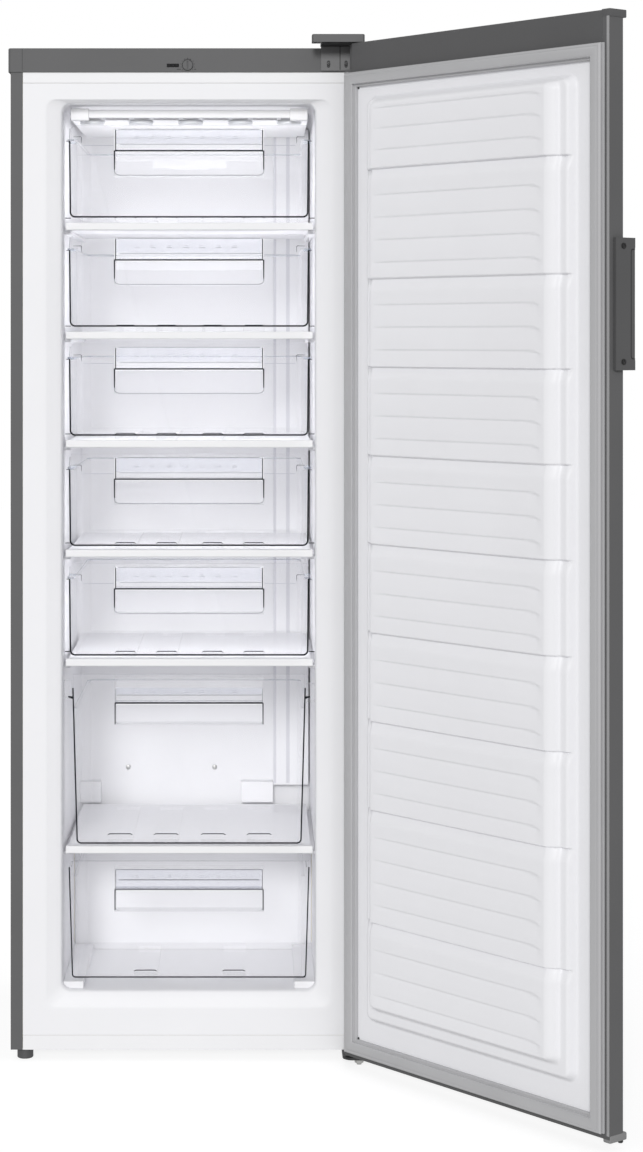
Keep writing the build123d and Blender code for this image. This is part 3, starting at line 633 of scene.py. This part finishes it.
us = lines(14.4, 579.6, 14.0, [64, 72, 87, 95, 499, 507, 522, 530, 477], 10, 1.9)
zs = lines(28.2, 1643.6, 3.4, LEDGES + STEPS + [90, 98, 114, 122, 1594, 1600], 6, 1.1)
bm = bmesh.new()
top_rows = []
for z in zs:
    top_rows.append([bm.verts.new(UV(u, liner_v(u, z), z)) for u in us])
for r0, r1 in zip(top_rows, top_rows[1:]):
    for i in range(len(us) - 1):
        bm.faces.new((r0[i], r0[i + 1], r1[i + 1], r1[i]))
edge_loop = top_rows[0] + [r[-1] for r in top_rows[1:]] + top_rows[-1][-2::-1] + [r[0] for r in top_rows[-2:0:-1]]
low = []
for vtx in edge_loop:
    low.append(bm.verts.new(vtx.co - INNER * 0.0019))
n = len(edge_loop)
for i in range(n):
    j = (i + 1) % n
    bm.faces.new((edge_loop[i], edge_loop[j], low[j], low[i]))
bm.faces.new(low[::-1])
to_obj(bm, "door_liner_panel", M["door_liner"], "door", ("door_liner",), angle=60)

# ------------------------------------------------------------------ door gasket
GP = [
    (0.0, 0.1), (0.0, 3.0), (0.5, 4.0), (2.4, 4.6), (3.0, 5.2), (2.4, 5.9), (0.9, 6.3), (0.4, 7.2), (0.5, 9.0),
    (1.2, 10.3), (2.6, 11.2), (4.2, 11.5), (5.0, 11.1), (5.6, 11.1), (6.4, 11.7), (9.0, 12.1), (13.0, 12.2),
    (17.5, 11.9), (19.6, 11.2), (20.6, 10.0), (20.8, 8.4), (20.2, 7.2), (20.6, 6.3), (22.0, 5.9), (23.6, 5.7),
    (24.6, 5.0), (25.0, 3.9), (25.0, 0.1),
]
GX1, GZ0, GZ1 = 287.7, 27.8, 1644.0


def gasket_ring(w, h):
    a, z0, z1 = GX1 - w, GZ0 + w, GZ1 - w
    y = DOOR_IN + h
    return [DP(-a, y, z0), DP(a, y, z0), DP(a, y, z1), DP(-a, y, z1)]


bm = bmesh.new()
rows = [[bm.verts.new(p) for p in gasket_ring(w, h)] for w, h in GP]
m_ = len(rows)
for i in range(m_):
    a, b = rows[i], rows[(i + 1) % m_]
    for j in range(4):
        k = (j + 1) % 4
        bm.faces.new((a[j], a[k], b[k], b[j]))
gk = to_obj(bm, "door_seal", M["gasket"], "door", ("door_gasket",), angle=38)

bm = bmesh.new()
for sx in (-1, 1):
    for z in (GZ0 + 26.6, GZ1 - 26.6):
        c = DP(sx * (GX1 - 26.4), DOOR_IN - 0.3, z)
        turned(bm, c, INNER, [(0, 1.9), (1.2, 1.9), (2.0, 1.3), (2.3, 0.02)], 16)
to_obj(bm, "seal_corner_plugs", M["black"], "door")

# ------------------------------------------------------------------ thin strips
def strip(bm, pts, w, y0, y1, place=P, close=False):
    """A thin raised line of width w through (x, z) points, between depths y0 and y1."""
    n = len(pts)
    left, right = [], []
    for i in range(n):
        x, z = pts[i]
        if close or 0 < i < n - 1:
            a, c = pts[(i - 1) % n], pts[(i + 1) % n]
            d0 = Vector((x - a[0], z - a[1])).normalized()
            d1 = Vector((c[0] - x, c[1] - z)).normalized()
        elif i == 0:
            d0 = d1 = Vector((pts[1][0] - x, pts[1][1] - z)).normalized()
        else:
            d0 = d1 = Vector((x - pts[-2][0], z - pts[-2][1])).normalized()
        t = (d0 + d1).normalized()
        nrm = Vector((-t.y, t.x))
        ww = w if not isinstance(w, (list, tuple)) else w[i]
        k = ww / 2 / max(0.5, nrm.dot(Vector((-d0.y, d0.x))))
        left.append((x + nrm.x * k, z + nrm.y * k))
        right.append((x - nrm.x * k, z - nrm.y * k))
    loops = []
    for (lx, lz), (rx, rz) in zip(left, right):
        loops.append([place(lx, y0, lz), place(rx, y0, rz), place(rx, y1, rz), place(lx, y1, lz)])
    ring_tube(bm, loops, close=close)


def arc(cx_, cz_, r, a0, a1, n=7):
    return [(cx_ + r * math.cos(math.radians(a0 + (a1 - a0) * i / n)),
             cz_ + r * math.sin(math.radians(a0 + (a1 - a0) * i / n))) for i in range(n + 1)]


def lines_obj(name, mat, body, items, place=P):
    bm = bmesh.new()
    for pts, w, y0, y1 in items:
        strip(bm, pts, w, y0, y1, place)
    return to_obj(bm, name, mat, body, angle=30)


# outlines seen on each clear drawer front: the dark, grey and pale lines are painted shade for light bent at the
# moulded edges and rims, the white strips are painted highlights
FY0, FY1 = 33.5, 34.2
for i, (dname, z0, h, rim, lip) in enumerate(DR):
    dark, grey, pale, white, band = [], [], [], [], []
    if i < 5:
        b0, b1, zr = 199.6, 200.9, z0 + 128.5
        bottom = z0 + 1.1
        u = [(-b1, zr), (-b0, bottom + 9)] + arc(-b0 + 8, bottom + 8, 8, 180, 270) \
            + arc(b0 - 8, bottom + 8, 8, -90, 0) + [(b0, bottom + 9), (b1, zr)]
        dark.append((u, 2.7, FY0, FY1))
        for sx in (-1, 1):
            grey.append(([(sx * b1, zr), (sx * (b1 - 0.6), z0 + 150)], 0.7, FY0, FY1))
            dark.append(([(sx * 206.4, zr), (sx * 200.6, zr)], 1.0, FY0, FY1))
            dark.append(([(sx * 195, z0 + 135.7), (sx * 182.2, z0 + 135.9), (sx * 181, z0 + 134.6), (sx * 181, z0 + 125.5)],
                         [0.5, 0.9, 0.9, 0.5], FY0, FY1))
            pale.append(([(sx * 179, z0 + 121.4), (sx * 127, z0 + 121.4)], 0.9, FY0, FY1))
        top, mid, lz, low, wl = z0 + 148.6, z0 + 123.0, z0 + 112.3, z0 + 80, z0 + 71.4
        for sx in (-1, 1):
            dark.append(([(sx * 123.6, top - 1), (sx * 123.6, lz)], 1.5, FY0, FY1))
            white.append(([(sx * 125.2, top), (sx * 125.2, lz + 2)], 1.2, FY0, FY1))
            dark.append(([(sx * 125.6, lz + 0.4), (sx * 125.6, low)], [2.4, 1.8], FY0, FY1))
            grey.append((arc(sx * 118.6, low - 0.8, 7.4, 180 if sx < 0 else 0, 270 if sx < 0 else -90), 0.9, FY0, FY1))
        grey.append(([(-118.6, wl - 0.2), (118.6, wl - 0.2)], 0.9, FY0, FY1))
        grey.append(([(-119, top), (119, top)], 0.8, FY0, FY1))
        pale.append(([(-116, mid), (122, mid)], 1.6, FY0, FY1))
        dark.append(([(-124.6, lz), (124.6, lz)], 2.4, FY0, FY1))
        white.append(([(-122, lz - 2.1), (122, lz - 2.1)], 1.2, FY0, FY1))
        band = [(-122.8, 122.8, z0 + 124.5, top - 1)]
        row = [(-88 + 27.5 * k, z0 + 134.5) for k in range(7)]
    elif i == 5:
        b0, b1, zr, bottom = 188.4, 195.4, z0 + 262, z0 + 1.1
        u = [(-b1, zr), (-b0 - 1.4, z0 + 60), (-b0, bottom + 9)] + arc(-b0 + 7, bottom + 7, 7, 180, 270) \
            + arc(b0 - 7, bottom + 7, 7, -90, 0) + [(b0, bottom + 9), (b0 + 1.4, z0 + 60), (b1, zr)]
        dark.append((u, 2.4, FY0, FY1))
        top, lz, low = z0 + 262, z0 + 236.6, z0 + 201
        for sx in (-1, 1):
            dark.append(([(sx * 203.5, z0 + 247.5), (sx * 195.4, z0 + 245.5)], [2.2, 4.4], FY0, FY1))
            grey.append(([(sx * 123.4, top - 2), (sx * 123.4, lz)], 0.8, FY0, FY1))
            dark.append(([(sx * 124.4, lz), (sx * 124.4, low)], [2.0, 1.6], FY0, FY1))
        grey.append(([(-122, z0 + 250), (122, z0 + 250)], 0.8, FY0, FY1))
        dark.append(([(-124.6, lz), (124.6, lz)], 2.4, FY0, FY1))
        white.append(([(-122, lz - 2.1), (122, lz - 2.1)], 1.2, FY0, FY1))
        band = [(-122.8, 122.8, z0 + 251, top)]
        row = [(-88 + 27.5 * k, z0 + 256) for k in range(7)]
    else:
        b0, b1, zr, bottom = 196.2, 201.6, z0 + 186, z0 + 1.0
        u = [(-b1, zr), (-b0 - 1, z0 + 40), (-b0, bottom + 6)] + arc(-b0 + 5, bottom + 5, 5, 180, 270) \
            + arc(b0 - 5, bottom + 5, 5, -90, 0) + [(b0, bottom + 6), (b0 + 1, z0 + 40), (b1, zr)]
        dark.append((u, 2.1, FY0, FY1))
        top, mid, lz, low = z0 + 181.7, z0 + 164.5, z0 + 148.4, z0 + 113.4
        for sx in (-1, 1):
            dark.append(([(sx * 123.4, top), (sx * 123.4, lz)], 0.8, FY0, FY1))
            dark.append(([(sx * 124.6, lz), (sx * 124.6, low)], [2.0, 1.7], FY0, FY1))
            grey.append(([(sx * 197.5, z0 + 186), (sx * 196.5, z0 + 196)], 0.7, FY0, FY1))
        grey.append(([(-123, top), (123, top)], 0.9, FY0, FY1))
        grey.append(([(-118, mid), (118, mid)], 1.3, FY0, FY1))
        grey.append(([(-124.6, lz), (124.6, lz)], 2.2, FY0, FY1))
        white.append(([(-122, lz - 2.2), (122, lz - 2.2)], 1.2, FY0, FY1))
        row = [(-88 + 27.5 * k, z0 + 170.5) for k in range(7)]
        band = [(-122.8, 122.8, z0 + 150, top - 1)]
    lines_obj(dname + "_painted_edge_shade", M["edge_line"], dname, dark)
    lines_obj(dname + "_painted_fine_shade", M["edge_grey"], dname, grey)
    if pale:
        lines_obj(dname + "_painted_faint_shade", M["edge_pale"], dname, pale)
    lines_obj(dname + "_highlights", M["edge_white"], dname, white)
    lines_obj(dname + "_grip_band", M["band"], dname,
              [([(x0, (a + b) / 2), (x1, (a + b) / 2)], b - a, 35.0, 35.6) for x0, x1, a, b in band])
    # plain moulded dashes above the grip, drawn as pale lines of painted shade
    bm = bmesh.new()
    for k, (x, z) in enumerate(row):
        strip(bm, [(x - 4.5, z - 1.5), (x + 4.5, z - 1.5)], 1.2, FY0, FY1)
        strip(bm, [(x - 3, z + 1.8), (x + 3, z + 1.8)], 0.9, FY0, FY1)
    to_obj(bm, dname + "_grip_dashes", M["edge_pale"], dname)
    # front ends of the runners under the drawer, drawn as dark lines of painted shade
    if i < 5:
        cs, wd, rz = (-109, -39, 39, 109), 18, z0 + 2.6
    elif i == 5:
        cs, wd, rz = (-118, -40, 40, 118), 21, z0 + 9.5
    else:
        cs, wd, rz = (-75, 75), 19.5, z0 + 3.5
    bm = bmesh.new()
    for c in cs:
        strip(bm, [(c - wd, rz - 1.8), (c - wd + 3.5, rz), (c + wd - 3.5, rz), (c + wd, rz - 1.8)],
              [0.9, 1.6, 1.6, 0.9], 70.8, 71.6)
    to_obj(bm, dname + "_runner_end_shade", M["edge_line"], dname)

# short dark ticks on the side walls, level with the bottoms of the upper drawers: painted shade beside each drawer's
# bottom edge
lines_obj("wall_shade_ticks", M["edge_line"], "cabinet",
          [([(sx * 212.3, z0 + 1.1), (sx * 202.2, z0 + 1.1)], 1.3, 80, 82)
           for dname, z0, h, rim, lip in DR[:5] for sx in (-1, 1)])

# painted shade along the two folds down the duct cover
lines_obj("duct_cover_fold_shade", M["edge_mist"], "cabinet",
          [([(147.2, 386), (147.2, 1588)], 5.0, 449.5, 450.1), ([(171.2, 386), (171.2, 1588)], 6.5, 449.5, 450.1)])

# ------------------------------------------------------------------ control marks on the worktop's front
bm = bmesh.new()
for k in range(11):
    a = math.radians(222 - 26.4 * k)
    r0, r1 = (10.2, 12.6) if k % 5 == 0 else (10.6, 12.2)
    strip(bm, [(-1.5 + r0 * math.cos(a), 1661.5 + r0 * math.sin(a)), (-1.5 + r1 * math.cos(a), 1661.5 + r1 * math.sin(a))],
          1.1, -2.15, -1.9)
strip(bm, arc(-1.5, 1661.5, 10.3, 128, 58, 8), [0.5 + 0.12 * k for k in range(9)], -2.15, -1.9)
strip(bm, [(-19.5, 1654.6), (-12.6, 1654.6)], 1.5, -2.15, -1.9)
strip(bm, [(9.4, 1654.6), (12.8, 1654.6)], 1.5, -2.15, -1.9)
to_obj(bm, "dial_scale_ticks", M["mark"], "cabinet")
bm = bmesh.new()
for k in range(3):
    x = -36.2 + 7.0 * k
    strip(bm, [(x, 1661.0), (x + 5.6, 1661.0)], 6.0, -2.3, -1.9)
to_obj(bm, "lamp_window_segments", M["lens"], "cabinet")
bm = bmesh.new()
for sx in (-1, 1):
    strip(bm, [(sx * 277.5, 1651.5), (sx * 277.5, 1689)], 0.7, -2.12, -1.9)
to_obj(bm, "worktop_corner_seams", M["dark"], "cabinet")

# ------------------------------------------------------------------ upper hinge details
bm = bmesh.new()
for x in (233.6, 262.8):
    c = P(x, -4.8, 1663.3)
    turned(bm, c, Vector((0, -1, 0)), [(0, 2.9), (0.9, 2.9), (1.5, 2.4), (1.6, 1.4), (0.6, 1.2), (0.55, 0.02)], 20)
for x in (262, 286):
    c = P(x, 49, 14.2)
    turned(bm, c, Vector((0, 0, -1)), [(0, 4.4), (1.8, 4.4), (2.6, 3.6), (2.8, 1.8), (1.4, 1.6), (1.35, 0.02)], 24)
to_obj(bm, "hinge_screw_heads", M["screw"], "cabinet", ("hinge_screws",))
# dark slot shapes on the bracket plate are painted shade in the slots; the line down the plate is the painted edge of
# the door's shadow, the line along its top the painted shadow under the cover
bm = bmesh.new()
for x in (233.6, 262.8):
    pts = arc(x, 1666.4, 2.6, 0, 180, 8) + arc(x, 1659.4, 2.6, 180, 360, 8)
    lo_, hi_ = [P(px, -5.02, pz) for px, pz in pts], [P(px, -5.25, pz) for px, pz in pts]
    ring_tube(bm, [lo_, hi_])
strip(bm, [(252.8, 1653.5), (252.8, 1693)], 1.5, -5.2, -4.9)
strip(bm, [(221.5, 1693.2), (273, 1693.2)], 2.2, -5.2, -4.9)
to_obj(bm, "hinge_painted_shade_marks", M["dark"], "cabinet")
# a dark slab under the cover's front edge: painted shadow beneath the cover
bm = bmesh.new()
rbox(bm, 221.5, 291.0, -49.6, -6, 1692.9, 1694.2, 0.3, 1)
to_obj(bm, "hinge_cover_painted_shadow", M["dark"], "cabinet")

# ------------------------------------------------------------------ door edge details
# strip along the free side's fold in the lighter paint: a painted highlight on the folded sheet edge
bm = bmesh.new()
strip(bm, [(297 - 591.1, 24.8), (297 - 591.1, 1687.2)], 5.2, DOOR_IN + 0.02, DOOR_IN + 0.3, DP)
to_obj(bm, "door_fold_painted_highlight", M["fold"], "door")
bm = bmesh.new()
strip(bm, [(297 - 4.9, 27.0), (297 - 4.9, 1645.5)], 8.4, DOOR_IN + 0.02, DOOR_IN + 0.3, DP)
to_obj(bm, "door_fold_hinge_side", M["gasket"], "door")
bm = bmesh.new()


def HP(a, d, z):
    """A point on the door's free edge: a along the closed door's depth, d out of the edge."""
    return DP(-303.0 + d, a, z)


# a dark line along the grip's step: painted shadow where the grip plate steps in
pts = [(-62, 1338.5), (-55, 1337.5), (-53.4, 1334), (-53.4, 1179), (-55, 1175.5), (-62, 1174.5)]
strip(bm, pts, [1.4, 1.8, 1.3, 1.3, 1.8, 1.4], -0.2, 0.1, HP)
to_obj(bm, "handle_step_shadow_line", M["dark"], "door")
bm = bmesh.new()
rbox(bm, -297.9, -283, -50.5, -13.2, 13.9, 25.6, 2.4, 3, DP)
to_obj(bm, "door_cap_corner", M["cap_light"], "door")
bm = bmesh.new()
rbox(bm, -298.2, -281, -49.0, -12.6, 1682.0, 1693.9, 1.2, 2, DP)
to_obj(bm, "door_cap_corner_upper", M["cap"], "door")
bm = bmesh.new()
turned(bm, DP(-290, -44, 14.5), Vector((0, 0, -1)), [(0, 4.2), (4.2, 4.2), (5.6, 3.2), (5.8, 0.02)], 20)
to_obj(bm, "door_cap_peg", M["black"], "door")

# ------------------------------------------------------------------ stage and lights
def stage_plane(name, pts, mat):
    me = bpy.data.meshes.new(name)
    me.from_pydata([p[:] for p in pts], [], [tuple(range(len(pts)))])
    ob = bpy.data.objects.new(name, me)
    scene.collection.objects.link(ob)
    me.materials.append(mat)
    return ob


M["floor"] = plain("studio_floor", (0.30, 0.30, 0.302), 0.008, 0.85, 0.05, 0.0, 60, 0.02, 0.0005, spec=0.0)
fb = M["floor"].node_tree.nodes["Principled BSDF"]
fb.inputs["Emission Color"].default_value = (1, 1, 1, 1)
fb.inputs["Emission Strength"].default_value = 0.80
floor = stage_plane("floor", [(-14, -14, 0), (14, -14, 0), (14, 14, 0), (-14, 14, 0)], M["floor"])
floor.visible_diffuse = False
floor.visible_glossy = False

world = bpy.data.worlds.new("studio")
scene.world = world
world.use_nodes = True
wt = world.node_tree
bg = wt.nodes["Background"]
bg.inputs["Color"].default_value = (1.0, 1.0, 1.0, 1)
bg.inputs["Strength"].default_value = 0.58
bg2 = wt.nodes.new("ShaderNodeBackground")
bg2.inputs["Color"].default_value = (1.0, 1.0, 1.0, 1)
bg2.inputs["Strength"].default_value = 1.0
lp = wt.nodes.new("ShaderNodeLightPath")
mx = wt.nodes.new("ShaderNodeMixShader")
wt.links.new(lp.outputs["Is Camera Ray"], mx.inputs[0])
wt.links.new(bg.outputs[0], mx.inputs[1])
wt.links.new(bg2.outputs[0], mx.inputs[2])
wt.links.new(mx.outputs[0], wt.nodes["World Output"].inputs["Surface"])


def sun(name, direction, strength, angle):
    d = bpy.data.lights.new(name, "SUN")
    d.energy = strength
    d.angle = math.radians(angle)
    ob = bpy.data.objects.new(name, d)
    scene.collection.objects.link(ob)
    ob.rotation_euler = Vector(direction).to_track_quat("-Z", "Y").to_euler()
    return ob


sun("front_sun", (0.10, 1.0, -0.36), 1.56, 14)


def sheet_light(name, x0, x1, y, z0, z1, power, spread):
    """Soft light inside a compartment, shining to the back wall."""
    d = bpy.data.lights.new(name, "AREA")
    d.shape = "RECTANGLE"
    d.size, d.size_y = (x1 - x0) / 1000, (z1 - z0) / 1000
    d.energy = power
    d.spread = math.radians(spread)
    ob = bpy.data.objects.new(name, d)
    scene.collection.objects.link(ob)
    ob.location = P((x0 + x1) / 2, y, (z0 + z1) / 2)
    ob.rotation_euler = (pi / 2, 0, 0)
    ob.visible_camera = False
    ob.visible_glossy = False
    return ob


for (dname, z0, h, rim, lip), glow in zip(DR, (2.85, 2.65, 2.6, 2.15, 2.35, 0.71, 0.41)):
    sheet_light(dname + "_glow", -204, 204, 64, z0 - 2, z0 + h - 6, 0.408 * (h - 4) / 1000 * pi * glow, 150)
sheet_light("ceiling_glow", -190, 190, 10, 1578, 1597, 0.009, 150)
gap = sheet_light("ceiling_gap_glow", -190, 190, 125, 1532, 1652, 0.075, 170)
gap.rotation_euler = (pi, 0, 0)
for name, z, y0, y1, power in (("drawer_6_top_glow", 634, 75, 375, 0.055), ("drawer_7_top_glow", 319, 75, 290, 0.062)):
    down = sheet_light(name, -190, 190, (y0 + y1) / 2, z - (y1 - y0) / 2, z + (y1 - y0) / 2, power, 160)
    down.rotation_euler = (0, 0, 0)

scene.view_settings.view_transform = "Standard"
scene.view_settings.look = "None"
if hasattr(scene, "cycles"):
    scene.cycles.transparent_max_bounces = 48
    scene.cycles.max_bounces = 16
    scene.cycles.diffuse_bounces = 6
